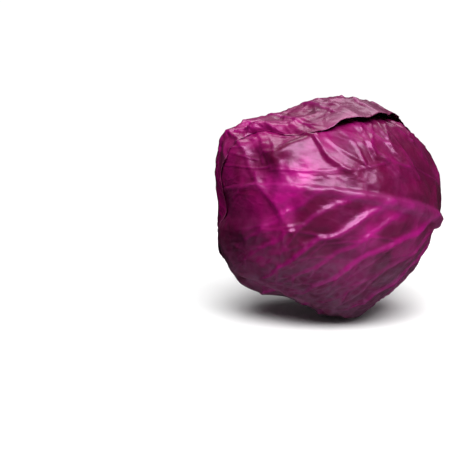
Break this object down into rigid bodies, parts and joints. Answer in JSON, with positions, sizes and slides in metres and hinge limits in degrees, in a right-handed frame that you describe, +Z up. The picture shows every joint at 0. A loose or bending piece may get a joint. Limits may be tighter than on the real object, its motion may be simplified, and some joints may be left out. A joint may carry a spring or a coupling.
{
  "type": "red cabbage",
  "caption": "Whole red cabbage head lying on its side, with overlapping ribbed wrapper leaves, a packed heart and a cut stalk.",
  "frame": {"origin": "Middle of the flat spot on which the head rests, straight under the middle of the head.", "axes": "+Z is up from the resting spot. The front, where one big wrapper leaf is seen whole, is at -Y. The stalk points away to +X and +Y and a little down, and +X is the longest side of the box."},
  "size_m": [0.1673, 0.1595, 0.1598],
  "materials": {
    "leaf": "waxy with a pale bloom",
    "heart": "waxy",
    "stalk": "matt, moist at the cut"
  },
  "bodies": {
    "root": {"heart": "heart", "stalk": "stalk", "wrapper_leaf_1": "leaf", "wrapper_leaf_2": "leaf", "wrapper_leaf_3": "leaf", "wrapper_leaf_4": "leaf", "wrapper_leaf_5": "leaf", "wrapper_leaf_6": "leaf"}
  },
  "joints": []
}
